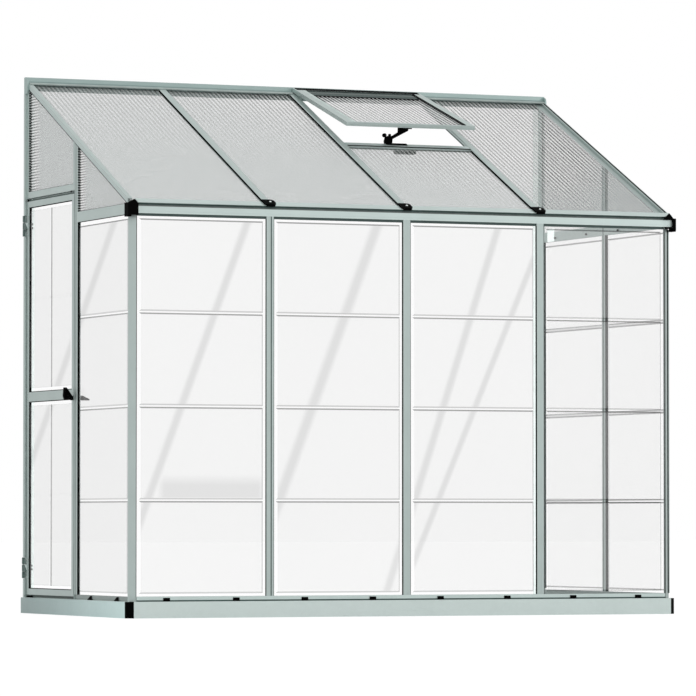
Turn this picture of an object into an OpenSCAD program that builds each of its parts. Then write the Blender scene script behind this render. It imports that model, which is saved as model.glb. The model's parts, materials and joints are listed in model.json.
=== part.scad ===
/* [Building] */
// Outside length of the base along the house wall
base_l = 2420; // [1900:20:2960]
// Outside depth of the base, from the front to the house wall
base_w = 1260; // [1040:10:1560]
// Slope of the roof in degrees
slope = 25; // [18:1:32]
// Height of the rafters' top plane at the front wall
eave_h = 1645; // [1500:5:1900]
// Number of equal bays along the front
bays = 4; // [4:1:4]
// Width of the front bay on the right end wall
end_bay = 596.5; // [480:0.5:640]

/* [Base] */
// Height of the base rails
base_h = 65; // [50:1:90]
// Width of the base rails' flanges
base_flange = 45; // [36:1:60]
// Sheet thickness of the base rails
base_t = 2.5; // [2:0.1:4]
// Setback of the walls from the base's outer face
wall_in = 17; // [10:1:25]
// Chamfer of the base corners
base_chamfer = 28; // [20:1:34]

/* [Glazing bars] */
// Face width of a glazing bar
bar_w = 31; // [26:0.5:40]
// Width of the sloping edges of a bar's face
bar_edge = 4; // [2:0.5:6]
// Depth of the eave beam and the sills, outside to inside
beam_d = 28; // [24:0.5:36]
// Wall thickness of the extrusions
wall = 2; // [1.6:0.1:2.6]
// Distance from a bar's face to the pane behind it
pane_in = 9; // [7:0.1:11]
// Free play between a pane and its seat
play = 0.3; // [0.2:0.05:0.6]
// Width of the bolt groove in a bar's face
groove_w = 6; // [4:0.5:9]
// Height of the sill above the base
sill_h = 20; // [16:1:28]
// Height of the side eave rails
rail_h = 42; // [36:1:54]
// Chamfer of the corner posts
post_chamfer = 25; // [20:1:27]

/* [Panes] */
// Thickness of the clear wall panes
clear_t = 3; // [2:0.1:4]
// Thickness of the twin-wall sheets
twin_t = 4; // [3:0.1:6]
// Thickness of the skins and webs of a twin-wall sheet
skin = 0.6; // [0.4:0.1:0.8]
// Pitch of the cells in the roof sheets
roof_cell = 17.8; // [8:0.1:24]
// Pitch of the cells in the gable sheets
gable_cell = 10.5; // [8:0.1:24]
// Height of the pressed fields in a clear pane
press_h = 5; // [3:0.5:6]
// Number of pressed fields over the height of a wall pane
field_rows = 4; // [3:1:5]

/* [Door] */
// Width of the door leaf
door_w = 571; // [450:1:600]
// Height of the top edge of the door leaf
door_top = 1714; // [1600:1:1800]
// Gap below the door leaf
door_foot = 12; // [8:1:20]
// Thickness of the door leaf
door_t = 12; // [10:0.5:14]
// Gap between the door leaf, its posts and its stops
door_gap = 5; // [5:0.5:8]
// Lap of the door stops behind the leaf
stop_lap = 5; // [4:0.5:8]
// Width of the door's stiles and end rails
stile_w = 25; // [20:1:32]
// Height of the door's middle rail
lock_rail_h = 39; // [30:1:50]
// Height of the handle's axis
handle_z = 882; // [850:1:930]

/* [Vent] */
// Opening angle of the roof vent
vent_open = 7.2; // [4:0.1:20]
// Length of the vent leaf
vent_l = 619; // [500:1:640]
// Gap between the vent leaf and the middle of the rafter beside it
vent_side = 4.25; // [2:0.25:8]
// Bay that carries the vent
vent_bay = 3; // [2:1:3]

/* [Hidden] */
$fn = 48;

// The walls' outer planes and the house wall
wx = base_l / 2 - wall_in;
wy = base_w / 2 - wall_in;
back_y = base_w / 2;
bay = 2 * wx / bays;
rise = tan(slope);

// Bars and panes
lip = pane_in - play;
wall_seat = pane_in + clear_t + play;
twin_seat = pane_in + twin_t + play;
bar_web = 1.5;
pane_edge = groove_w / 2 + wall + 1;
corner_edge = post_chamfer + wall * sqrt(2) + 2 * play - pane_in;
corner_in = post_chamfer + 3;
end_rafter_w = 18;
end_rafter_d = 22;
cut_below = end_rafter_d + play;

// Heights on the walls
sill_top = base_h + sill_h;
sill_gap = 6;
sill_step = 2;
end_sill_in = 4.5;
beam_face_z = eave_h - 47;
beam_z1 = beam_face_z + 28;
head_h = 10;
cap_in = 30;
beam_over = 6;
rail_z = eave_h - 50;
rail_y0 = beam_d + 2 - wy;
field_z0 = sill_top + 8;
field_z1 = beam_face_z - 17;
pane_z0 = base_h + wall + play;

// Ridge
ridge_t = 18;
ridge_y = back_y - ridge_t;
ridge_up = 20;
ridge_h = 56;
ridge_z = eave_h + (ridge_y + wy) * rise + ridge_up;
ridge_lip = 26;
plate_t = 7;
plate_h = 70;
plate_r = 22;

// Door bay: the hinge post is at the house wall
post_face = 18;
post_wide = 38;
post_proud = 8;
door_y1 = back_y - post_face - door_gap;
door_y0 = door_y1 - door_w;
door_z0 = base_h + door_foot;
jamb_y = door_y0 - door_gap;
jamb_wide = 18;
mid_left = jamb_y - wall - play - bar_w / 2;
mid_right = end_bay - wy;
stop_b = door_t + door_gap;
header_z = door_top + 13;
header_h = 27;
hinge_x = -wx - 9;
hinge_y = back_y - 9;
hinge_r = 6;
hinge_len = 86;
hinge_plate = 2.5;
pin_r = 2;
lock_z0 = 879;
hinge_zs = [145, 1570];
handle_y = door_y0 + 13;
spindle_r = 4.5;
strike_h = 60;
bolt_zs = [300, 1900];
pane_grip = 7;

// Vent
vent_x = (vent_bay - 1 - bays / 2) * bay + bay / 2;
vent_y = ridge_y - 4;
vent_z = eave_h + (vent_y + wy) * rise + 2;
vent_w = bay - 2 * vent_side;
vent_bar = 45;
vent_lip = 10;
vent_top = 34;
vent_t = 17;
curb_w = 36;
curb_web = 18;
curb_s = (vent_y - vent_l * cos(slope) + wy - 13) / cos(slope);

metal = "#b4c2be";
dark = "#151917";
clear = "#e6edeb";
opal = "#cfd3d2";

// Height of the rafters' top plane above a place y
function roof_z(y) = eave_h + (y + wy) * rise;
// The same plane lowered by d, measured square to the slope
function under(y, d) = roof_z(y) - d / cos(slope);
function flip(points) = [for (i = [len(points) - 1 : -1 : 0]) [-points[i][0], points[i][1]]];

// A section in (Y, Z) run along X
module along_x(x0, x1) {
    translate([x0, 0, 0]) rotate([90, 0, 90]) linear_extrude(x1 - x0) children();
}

// A section in (X, Z) run along Y
module along_y(y0, y1) {
    translate([0, y1, 0]) rotate([90, 0, 0]) linear_extrude(y1 - y0) children();
}

module along_z(z0, z1) {
    translate([0, 0, z0]) linear_extrude(z1 - z0) children();
}

// Roof frame: y runs up the slope from the front wall, z is square to the rafters' top plane
module on_roof() {
    translate([0, -wy, eave_h]) rotate([slope, 0, 0]) children();
}

// Vent frame: y runs up the open leaf to its hinge, z is square to its underside
module on_vent() {
    translate([vent_x, vent_y, vent_z]) rotate([slope - vent_open, 0, 0]) children();
}

// Everything below the roof, lowered by d, between two places in y
module below_roof(y0, y1, d) {
    along_x(-base_l, base_l)
        polygon([[y0, -10], [y1, -10], [y1, under(y1, d)], [y0, under(y0, d)]]);
}

// Places a left-hand piece on the right-hand end
module right_end() {
    mirror([1, 0, 0]) children();
}

// Plan section of a wall bar: grooved face at y = 0, seats for the panes at y = seat
module bar_section(seat) {
    w = bar_w / 2;
    g = groove_w / 2;
    half = [
        [0, pane_in - wall], [g, pane_in - wall], [g, 0], [w - bar_edge, 0], [w, bar_edge / 2],
        [w, lip], [w - wall, lip], [w - wall, bar_edge / 2 + 1], [w - bar_edge - 0.5, wall],
        [g + wall, wall], [g + wall, pane_in], [bar_web, pane_in], [bar_web, seat], [w, seat],
        [w, seat + wall], [0, seat + wall]
    ];
    polygon(concat(half, flip(half)));
}

// Section of a rafter: the same bar with a plain face
module rafter_section() {
    w = bar_w / 2;
    half = [
        [0, 0], [w - bar_edge, 0], [w, bar_edge / 2], [w, lip], [w - wall, lip],
        [w - wall, bar_edge / 2 + 1], [w - bar_edge - 0.5, wall], [bar_web, wall],
        [bar_web, twin_seat], [w, twin_seat], [w, twin_seat + wall], [0, twin_seat + wall]
    ];
    polygon(concat(half, flip(half)));
}

// Section of a twin-wall sheet w wide: two skins joined by webs
module twin_section(w, pitch) {
    count = floor((w - skin) / pitch);
    first = (w - count * pitch + skin) / 2;
    difference() {
        square([w, twin_t]);
        for (i = [0 : count - 1]) translate([first + i * pitch, skin])
            square([pitch - skin, twin_t - 2 * skin]);
    }
}

// Section of a rail that takes a pane from below and one from above
module rail_section(height) {
    mid = height / 2;
    inner = twin_seat + wall;
    polygon([
        [0, 0], [lip, 0], [lip, wall], [wall, wall], [wall, mid - 1], [twin_seat, mid - 1],
        [twin_seat, 0], [inner, 0], [inner, height], [twin_seat, height], [twin_seat, mid + 1],
        [wall, mid + 1], [wall, height - wall], [lip, height - wall], [lip, height], [0, height]
    ]);
}

// Section of the sill channel that stands on the base, its face set back from the wall
module sill_section(seat, face) {
    foot = face + sill_step;
    inner = foot + wall;
    rise_z = sill_gap + wall;
    polygon([
        [foot, 0], [beam_d, 0], [beam_d, wall], [seat + wall, wall], [seat + wall, sill_h],
        [seat, sill_h], [seat, wall], [inner, wall], [inner, rise_z], [face + wall, rise_z],
        [face + wall, sill_h - wall], [lip, sill_h - wall], [lip, sill_h], [face, sill_h],
        [face, sill_gap], [foot, sill_gap]
    ]);
}

// Section of a base rail: outer face at x = 0
module base_section() {
    lift = base_h - base_t;
    polygon([
        [0, 0], [base_flange, 0], [base_flange, base_t], [base_t, base_t], [base_t, lift],
        [base_flange, lift], [base_flange, base_h], [0, base_h]
    ]);
}

// Base rails, mitred from the chamfered front corners
module base_rail_front() {
    h = base_l / 2;
    color(metal) intersection() {
        along_x(-h, h) translate([-base_w / 2, 0]) base_section();
        along_z(0, base_h) translate([0, -base_w / 2]) polygon([
            [base_chamfer - h, 0], [h - base_chamfer, 0],
            [h - base_flange, base_flange], [base_flange - h, base_flange]
        ]);
    }
}

module base_rail_back() {
    reach = base_l / 2 - base_flange;
    color(metal) along_x(-reach, reach) translate([back_y, 0]) mirror([1, 0]) base_section();
}

module base_rail_left() {
    color(metal) intersection() {
        along_y(-base_w / 2, back_y) translate([-base_l / 2, 0]) base_section();
        along_z(0, base_h) translate([-base_l / 2, -base_w / 2]) polygon([
            [0, base_chamfer], [base_flange, base_flange], [base_flange, base_w], [0, base_w]
        ]);
    }
}

module base_corner() {
    along_z(0, base_h) translate([-base_l / 2, -base_w / 2])
        polygon([[base_chamfer, 0], [base_flange, base_flange], [0, base_chamfer]]);
}

module base_corners() {
    color(dark) base_corner();
    color(dark) right_end() base_corner();
}

// Sills
module front_sill() {
    color(metal) along_x(corner_in - wx, wx - corner_in) translate([-wy, base_h])
        sill_section(wall_seat, 0);
}

module end_sill(y1) {
    along_y(corner_in - wy, y1) translate([-wx, base_h]) sill_section(twin_seat, end_sill_in);
}

// Threshold: an angle on the base that stops the foot of the door leaf
module threshold() {
    y0 = door_y0 + stop_lap + play;
    y1 = door_y1 - stop_lap - play;
    along_y(y0, y1) translate([-wx, base_h]) polygon([
        [stop_b, 0], [base_flange - wall_in, 0], [base_flange - wall_in, wall],
        [stop_b + wall, wall], [stop_b + wall, door_foot + 13], [stop_b, door_foot + 13]
    ]);
}

module end_sills() {
    color(metal) end_sill(mid_left + bar_w / 2);
    color(metal) threshold();
    color(metal) right_end() end_sill(back_y - post_wide);
}

// Eave beam: hollow face box with a fine groove, an open channel above it and a lip in the
// roof's plane
module eave_beam() {
    y0 = -wy;
    y1 = y0 + beam_d;
    fin = 10;
    score = 8;
    color(metal) along_x(cap_in - wx, wx + beam_over) difference() {
        union() {
            polygon([
                [y0, beam_face_z], [y1, beam_face_z], [y1, under(y1, twin_seat)],
                [y0 + fin, under(y0 + fin, twin_seat)], [y0 + fin, beam_z1], [y0, beam_z1]
            ]);
            polygon([
                [y0 + fin - wall, beam_z1 - wall], [y0 + fin, beam_z1 - wall],
                [y0 + fin, roof_z(y0 + fin) - 1], [y0 + fin - wall, roof_z(y0 + fin - wall) - 1]
            ]);
            polygon([
                [y0 - 4, roof_z(y0 - 4)], [y0 - 4, under(y0 - 4, 2.5)],
                [y1, under(y1, 2.5)], [y1, roof_z(y1)]
            ]);
        }
        polygon([
            [y0 + wall, beam_face_z + wall], [y1 - wall, beam_face_z + wall],
            [y1 - wall, under(y1, twin_seat) - 2 * wall], [y0 + fin, beam_z1 - wall],
            [y0 + wall, beam_z1 - wall]
        ]);
        translate([y0 - 1, beam_face_z + score]) square([1.8, 1.5]);
    }
}

// Corner posts
module corner_section() {
    c = post_chamfer;
    e = wall * (1 + sqrt(2));
    polygon([
        [c, 0], [c, lip], [c - wall, lip], [c - wall, e], [e, c - wall],
        [lip, c - wall], [lip, c], [0, c]
    ]);
    s = wall_seat;
    polygon([
        [s + 1.2, s], [corner_in, s], [corner_in, s + wall], [s + wall, s + wall],
        [s + wall, corner_in], [s, corner_in], [s, s + 1.2]
    ]);
    polygon([
        [c / 2 - 1, c / 2 + 1], [c / 2 + 1, c / 2 - 1], [s + wall, s + wall - 2],
        [s + wall - 2, s + wall]
    ]);
}

module corner_post_left() {
    color(metal) along_z(base_h, beam_face_z) translate([-wx, -wy]) corner_section();
}

// Front posts between the sill and the eave beam
module front_post(k) {
    color(metal) along_z(sill_top, beam_face_z)
        translate([(k - bays / 2) * bay, -wy]) bar_section(wall_seat);
}

// A bevelled pressed field: w wide, from z0 to z1, raised by h in -y
module field(w, z0, z1, h) {
    run = h * 1.2;
    intersection() {
        translate([-w / 2, 0, 0]) rotate([90, 0, 90]) linear_extrude(w)
            polygon([[0, z0], [-h, z0 + run], [-h, z1 - run], [0, z1]]);
        translate([0, 0, z0]) linear_extrude(z1 - z0)
            polygon([[-w / 2, 0], [run - w / 2, -h], [w / 2 - run, -h], [w / 2, 0]]);
    }
}

// A clear pane with pressed fields, centred on x, its outer face at y = 0
module pressed_pane(w, z0, z1, margin, cols, levels, h) {
    gap = 6;
    cell = (w - 2 * margin + gap) / cols;
    difference() {
        union() {
            translate([-w / 2, 0, z0]) cube([w, clear_t, z1 - z0]);
            for (i = [0 : cols - 1], k = [0 : len(levels) - 2])
                translate([(i + 0.5 - cols / 2) * cell, 0, 0])
                    field(cell - gap, levels[k] + gap / 2, levels[k + 1] - gap / 2, h);
        }
        for (i = [0 : cols - 1], k = [0 : len(levels) - 2])
            translate([(i + 0.5 - cols / 2) * cell, clear_t, 0])
                field(cell - gap, levels[k] + gap / 2, levels[k + 1] - gap / 2, h);
    }
}

wall_levels = [for (k = [0 : field_rows]) field_z0 + (field_z1 - field_z0) * k / field_rows];

module front_pane(k) {
    x0 = k == 1 ? corner_edge - wx : (k - 1 - bays / 2) * bay + pane_edge;
    x1 = k == bays ? wx - corner_edge : (k - bays / 2) * bay - pane_edge;
    color(clear) translate([(x0 + x1) / 2, pane_in - wy, 0])
        pressed_pane(x1 - x0, pane_z0, beam_face_z - wall - play, 22, 1, wall_levels, press_h);
}

// Channels that hold the heads of the front panes
module head_channels() {
    half = bar_w / 2;
    color(metal) for (k = [1 : bays]) {
        x0 = k == 1 ? cap_in - wx : (k - 1 - bays / 2) * bay + half;
        x1 = k == bays ? wx - cap_in : (k - bays / 2) * bay - half;
        along_x(x0, x1) translate([-wy, beam_face_z]) polygon([
            [lip - wall, -head_h], [lip, -head_h], [lip, -wall], [wall_seat, -wall],
            [wall_seat, -head_h], [wall_seat + wall, -head_h], [wall_seat + wall, 0], [lip - wall, 0]
        ]);
    }
}

// End walls, built for the left end
module mid_post(y) {
    color(metal) intersection() {
        along_z(sill_top, ridge_z) translate([-wx, y]) rotate(-90) bar_section(twin_seat);
        below_roof(-wy, back_y, cut_below);
    }
}

// Door jamb: its tongue sits in the pane slot of the mid post, its stop laps the leaf and is
// notched for the latch, and above the header it carries the gable pane
module door_jamb() {
    far = jamb_y - wall;
    tip = door_y0 + stop_lap;
    color(metal) intersection() {
        difference() {
            union() {
                along_z(base_h, ridge_z) translate([-wx, far]) square([stop_b + wall, wall]);
                along_z(sill_top + play, ridge_z) translate([pane_in + play - wx, far - 9])
                    square([twin_t - play, 9.5]);
                along_z(base_h, header_z) translate([stop_b - wx, far]) square([wall, tip - far]);
                along_z(header_z, ridge_z) translate([-wx, jamb_y]) polygon([
                    [0, -1], [0, jamb_wide], [lip, jamb_wide], [lip, jamb_wide - wall],
                    [wall, jamb_wide - wall], [wall, -1]
                ]);
                along_z(header_z, ridge_z) translate([twin_seat - wx, far + 1])
                    square([wall, jamb_wide + wall - 1]);
            }
            translate([stop_b - wx - 1, jamb_y, handle_z - strike_h / 2])
                cube([wall + 2, tip - jamb_y + 1, strike_h]);
        }
        below_roof(-wy, back_y, cut_below);
    }
}

// Wall post with the back flange that bolts to the house wall
module wall_bolt_holes() {
    for (z = bolt_zs)
        translate([-wx + 28, back_y + 1, z]) rotate([90, 0, 0]) cylinder(h = 6, r = 4.5);
}

module post_shell(z0, z1) {
    seat = twin_seat;
    along_z(z0, z1) translate([-wx, back_y]) mirror([0, 1]) polygon([
        [0, 0], [0, post_wide], [lip, post_wide], [lip, post_wide - wall],
        [wall, post_wide - wall], [wall, wall], [seat, wall], [seat, post_wide],
        [seat + wall, post_wide], [seat + wall, wall], [40, wall], [40, 0]
    ]);
}

// The hinge post has a hollow bead in front of its face, notched where the hinges sit
module hinge_bead(top) {
    difference() {
        along_z(base_h, top) translate([-wx - post_proud, back_y - post_face]) difference() {
            square([post_proud + 1, post_face]);
            translate([wall, wall]) square([post_proud - wall, post_face - 2 * wall]);
        }
        for (z = hinge_zs) translate([-wx - post_proud - 1, back_y - post_face - 1, z - 1])
            cube([post_proud + 1, post_face + 2, hinge_len + 2]);
    }
}

module wall_post_left() {
    top = ridge_z - ridge_h;
    reach = post_face + door_gap + stop_lap;
    color(metal) difference() {
        union() {
            post_shell(header_z, top);
            hinge_bead(ridge_z - plate_h - play);
            along_z(base_h, header_z) translate([-wx, back_y]) mirror([0, 1]) polygon([
                [0, 0], [0, post_face], [stop_b, post_face], [stop_b, reach],
                [stop_b + wall, reach], [stop_b + wall, post_face - wall],
                [wall, post_face - wall], [wall, wall], [40, wall], [40, 0]
            ]);
        }
        wall_bolt_holes();
    }
}

module wall_post_right() {
    color(metal) right_end() difference() {
        post_shell(base_h, ridge_z - ridge_h);
        wall_bolt_holes();
    }
}

module end_rail(y0, y1, z, height) {
    intersection() {
        along_y(y0, y1) translate([-wx, z]) rail_section(height);
        below_roof(y0, y1, cut_below);
    }
}

module eave_rail_left() {
    color(metal) end_rail(rail_y0, mid_left - bar_w / 2, rail_z, rail_h);
}

module eave_rails_right() {
    color(metal) right_end() end_rail(rail_y0, mid_right - bar_w / 2, rail_z, rail_h);
    color(metal) right_end() end_rail(mid_right + bar_w / 2, back_y - post_wide, rail_z, rail_h);
}

// The header's inner leg runs down behind the leaf as its top stop
module door_header() {
    y0 = jamb_y + jamb_wide;
    y1 = back_y - post_wide;
    drop = header_z - door_top + stop_lap;
    color(metal) union() {
        end_rail(y0, y1, header_z, header_h);
        along_y(y0, y1) translate([-wx, header_z - drop]) polygon([
            [stop_b, 0], [stop_b + wall, 0], [stop_b + wall, drop + 1], [twin_seat, drop + 1],
            [twin_seat, drop - 1], [stop_b, drop - 1]
        ]);
    }
}

// Clear pane of an end wall between two places in y
module end_pane(y0, y1) {
    translate([pane_in - wx, (y0 + y1) / 2, 0]) rotate([0, 0, -90])
        pressed_pane(y1 - y0, pane_z0, rail_z + rail_h / 2 - 4, 22, 1, wall_levels, press_h);
}

// The pane beside the front corner, notched under the eave beam
module corner_pane(y1) {
    difference() {
        end_pane(corner_edge - wy, y1);
        translate([-wx, -wy, beam_face_z - play]) cube([cap_in, beam_d + play, beam_d]);
    }
}

module end_pane_left() {
    color(clear) corner_pane(mid_left - pane_edge);
}

module end_panes_right() {
    color(clear) right_end() corner_pane(mid_right - pane_edge);
    color(clear) right_end() end_pane(mid_right + pane_edge, back_y - post_wide + 8);
}

// Twin-wall pane of an end wall with level cells: z0 is its lower edge, the roof its upper one
module gable_pane(y0, y1, z0) {
    top = twin_seat + wall + 2;
    intersection() {
        along_y(y0, y1) translate([pane_in + twin_t - wx, z0]) rotate(90)
            twin_section(under(y1, top) - z0, gable_cell);
        below_roof(y0 - 1, y1 + 1, top);
    }
}

module gable_panes_left() {
    color(opal) gable_pane(rail_y0 + 1, mid_left - pane_edge, rail_z + rail_h / 2 + 4);
    color(opal) gable_pane(jamb_y + wall, back_y - post_wide + 8, header_z + header_h / 2 + 3);
}

module gable_panes_right() {
    z0 = rail_z + rail_h / 2 + 4;
    color(opal) right_end() gable_pane(rail_y0 + 1, mid_right - pane_edge, z0);
    color(opal) right_end() gable_pane(mid_right + pane_edge, back_y - post_wide + 8, z0);
}

// Ridge plate: hollow box on the house wall with a lip that laps the panes
module ridge_plate() {
    y0 = ridge_y;
    z0 = ridge_z - ridge_h;
    plate_z = ridge_z - plate_h;
    vent_half = vent_w / 2 + vent_side - play;
    lift = 2.5 + play;
    color(metal) difference() {
        union() {
            along_x(-wx, wx) difference() {
                translate([y0, z0]) square([ridge_t, ridge_h]);
                translate([y0 + wall, z0 + wall]) square([ridge_t - 2 * wall, ridge_h - 2 * wall]);
            }
            along_x(-wx, wx) polygon([
                [y0 + 1, under(y0 + 1, -play)], [y0 + 1, under(y0 + 1, -lift)],
                [y0 - ridge_lip, under(y0 - ridge_lip, -lift)],
                [y0 - ridge_lip, under(y0 - ridge_lip, -play)]
            ]);
            for (x = [-wx - plate_t, wx]) along_x(x, x + plate_t) union() {
                translate([y0 - plate_r, plate_z]) square([ridge_t + plate_r, 2 * plate_r]);
                translate([y0, plate_z]) square([ridge_t, plate_h]);
                translate([y0, plate_z + 2 * plate_r]) intersection() {
                    circle(r = plate_r);
                    translate([-plate_r, 0]) square([plate_r + ridge_t, plate_r]);
                }
            }
        }
        translate([vent_x - vent_half, y0 - ridge_lip - 5, z0 + 6])
            cube([2 * vent_half, ridge_lip + 5 - play, ridge_h]);
    }
}

// Rafters: glazing bars in the roof plane, cut upright at both ends
module rafter_slab(y0) {
    translate([-base_l, y0, eave_h / 2]) cube([2 * base_l, ridge_y - y0, ridge_z]);
}

module rafter(k) {
    color(metal) intersection() {
        on_roof() along_y(-10, base_w * 1.5) translate([(k - bays / 2) * bay, 0])
            mirror([0, 1]) rafter_section();
        rafter_slab(beam_d - wy);
    }
}

module end_rafter() {
    w = end_rafter_w;
    s = twin_seat;
    color(metal) intersection() {
        on_roof() along_y(-10, base_w * 1.5) translate([-wx, 0]) mirror([0, 1]) polygon([
            [0, 0], [w, 0], [w, lip], [w - wall, lip], [w - wall, wall], [wall, wall], [wall, s],
            [w, s], [w, s + wall], [s + wall + play, s + wall], [s + wall + play, end_rafter_d],
            [s + play, end_rafter_d], [s + play, s + wall], [wall, s + wall], [wall, 18],
            [lip, 18], [lip, 20], [0, 20]
        ]);
        rafter_slab(rail_y0);
    }
}

// Twin-wall roof sheet between two distances up the slope, its cells running up the slope
module roof_sheet(x0, x1, s0, s1) {
    on_roof() along_y(s0, s1) translate([x0, -pane_in - twin_t]) twin_section(x1 - x0, roof_cell);
}

module roof_pane(k) {
    x0 = k == 1 ? wall + 1 - wx : (k - 1 - bays / 2) * bay + pane_edge;
    x1 = k == bays ? wx - wall - 1 : (k - bays / 2) * bay - pane_edge;
    s0 = 10 / cos(slope) + 6;
    s1 = k == vent_bay ? curb_s + 15 : (ridge_y + wy) / cos(slope) - 8;
    color(opal) roof_sheet(x0, x1, s0, s1);
}

// Curb bar under the vent's lower edge
module vent_curb() {
    color(metal) on_roof() translate([0, curb_s, 0])
        along_x(vent_x - bay / 2 + bar_w / 2, vent_x + bay / 2 - bar_w / 2) polygon([
            [0, 0], [0, -lip], [wall, -lip], [wall, -wall], [curb_web, -wall],
            [curb_web, -twin_seat], [0, -twin_seat], [0, -twin_seat - wall],
            [curb_web + wall, -twin_seat - wall], [curb_web + wall, -wall], [curb_w, -wall],
            [curb_w, 0]
        ]);
}

// Vent leaf, held open by its stay
module vent_frame() {
    inner_w = vent_w - 2 * vent_bar;
    inner_l = vent_l - vent_lip - vent_top;
    rebate = vent_lip - 3;
    color(metal) on_vent() difference() {
        translate([-vent_w / 2, -vent_l, 0]) cube([vent_w, vent_l, vent_t]);
        translate([-inner_w / 2, vent_lip - vent_l, -1]) cube([inner_w, inner_l, vent_t + 2]);
        translate([-inner_w / 2 - rebate, vent_lip - vent_l - rebate, vent_t - 8])
            cube([inner_w + 2 * rebate, inner_l + 2 * rebate, twin_t + play]);
        translate([-vent_w / 2 - 1, -vent_l - 1, 5]) cube([vent_w + 2, 2.5, 1.5]);
    }
}

module vent_pane() {
    inner_w = vent_w - 2 * vent_bar;
    inner_l = vent_l - vent_lip - vent_top;
    grip = vent_lip - 4;
    w = inner_w + 2 * grip;
    color(opal) on_vent() along_y(vent_lip - vent_l - grip, grip - vent_top)
        translate([-w / 2, vent_t - 8 + play / 2]) twin_section(w, roof_cell);
}

module vent_hinge() {
    reach = bay / 2 - bar_w / 2 - 1;
    color(dark) along_x(vent_x - reach, vent_x + reach) union() {
        translate([vent_y + 2, vent_z + 2]) square([ridge_y - vent_y - 2 - play, 12]);
        translate([vent_y + 0.2, vent_z - 4]) circle(r = 3.5);
        translate([vent_y - 1, vent_z - 4]) square([ridge_y - vent_y + 1 - play, 3]);
        translate([ridge_y - 2 - play, vent_z - 4]) square([2, 12]);
    }
}

// Stay behind the curb: a hooked foot, a clamp knob, an arm up to the leaf and a grip inside
module vent_stay() {
    y1 = (curb_s + curb_w) * cos(slope) + wall * sin(slope) - wy + play;
    z0 = roof_z(y1);
    x0 = vent_x - 100;
    t = 9;
    leaf_z = vent_z - (vent_y - y1 - t) * tan(slope - vent_open) - z0;
    color(dark) union() {
        along_y(y1, y1 + t) translate([x0, z0]) {
            polygon([
                [2, 0], [0, 10], [5, 28], [20, 34], [36, 33], [64, 50], [65, leaf_z - 3],
                [104, leaf_z - 3], [111, 66], [110, 57], [38, 20], [36, 0], [62, -22], [46, -30],
                [24, -10]
            ]);
            translate([2, 35]) circle(r = 8.5);
            translate([26, 37]) circle(r = 5);
            translate([56, -32]) circle(r = 10.5);
            translate([56, -42.5]) square([80, 21]);
            translate([136, -32]) circle(r = 10.5);
        }
        on_roof() translate([x0 + 4, curb_s + curb_w - 14, play]) cube([96, 16, 2.5]);
        on_vent() translate([x0 + 62 - vent_x, 2 - vent_l, -5 - play]) cube([44, 62, 5]);
    }
}

// Plastic caps over the rafter feet: square on the left, round on the right
module cap_plate(w, l) {
    translate([-w / 2, 0]) square([w - l / 3, l]);
    translate([w / 2 - l / 3, l / 3]) circle(r = l / 3);
    translate([w / 2 - l / 3, l * 2 / 3]) circle(r = l / 3);
}

module rafter_caps() {
    color(dark) for (k = [1 : bays - 1]) on_roof() translate([(k - bays / 2) * bay, 0, play]) {
        translate([0, -8, 0]) linear_extrude(6) cap_plate(52, 50);
        translate([-19, -8, -6]) cube([38, 2, 8]);
    }
}

// Eave caps: a peaked block in front of the beam's end and a cheek outside the end wall
module eave_cap_left() {
    z0 = beam_face_z - head_h + 2;
    cheek_z = z0 - 6;
    x0 = -wx - 14;
    x1 = cap_in - wx - play;
    y0 = -wy - 12;
    shoulder = eave_h - 6;
    difference() {
        union() {
            along_y(y0, 14 - wy)
                polygon([[x0, z0], [x0, shoulder], [x1, shoulder - 2], [x1, z0]]);
            along_y(y0, -wy)
                polygon([[x0, shoulder - 1], [x0 + 28, shoulder + 14], [x1, shoulder - 3]]);
            along_x(x0, -wx - play) translate([y0, cheek_z]) square([42, shoulder - cheek_z]);
        }
        translate([-wx - play, -wy - play, z0 - 1])
            cube([cap_in, cap_in, beam_face_z - z0 + 1 + play]);
    }
}

module eave_cap_right() {
    z0 = beam_face_z - head_h - 9;
    z1 = beam_z1 + 7;
    x0 = wx + beam_over + play;
    peak = wx - 11;
    y0 = -wy - 12;
    lip_y = -wy - 4 - play;
    foot = 8;
    union() {
        along_y(y0, lip_y) polygon([
            [peak - 26, beam_z1 + 2], [peak, eave_h + 9], [x0 + 3, z1 - 2], [x0 + 3, beam_z1 + 2]
        ]);
        along_x(x0, x0 + 13) polygon([
            [y0, z0 + 6], [y0 + 4, z0], [y0 + 42, z0], [y0 + 42, z1], [y0, z1]
        ]);
        translate([wx - corner_in, y0, beam_face_z - foot - play])
            cube([x0 - wx + corner_in + 1, 12 - play, foot]);
    }
}

module eave_caps() {
    color(dark) eave_cap_left();
    color(dark) eave_cap_right();
}

// Hinges: the post carries the outer knuckles and the pin, the door the middle one
module post_hinge(z) {
    part = hinge_len / 3;
    translate([-wx - hinge_plate, back_y - post_face + 1, z])
        cube([hinge_plate, post_face - 2, hinge_len]);
    for (dz = [0, 2 * part + 1]) translate([hinge_x, hinge_y, z + dz]) {
        cylinder(h = part - 1, r = hinge_r);
        translate([0, -3, 0]) cube([-wx - 1 - hinge_x, 6, part - 1]);
    }
    translate([hinge_x, hinge_y, z]) cylinder(h = hinge_len, r = pin_r);
}

module post_hinges() {
    color(metal) for (z = hinge_zs) post_hinge(z);
}

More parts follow.
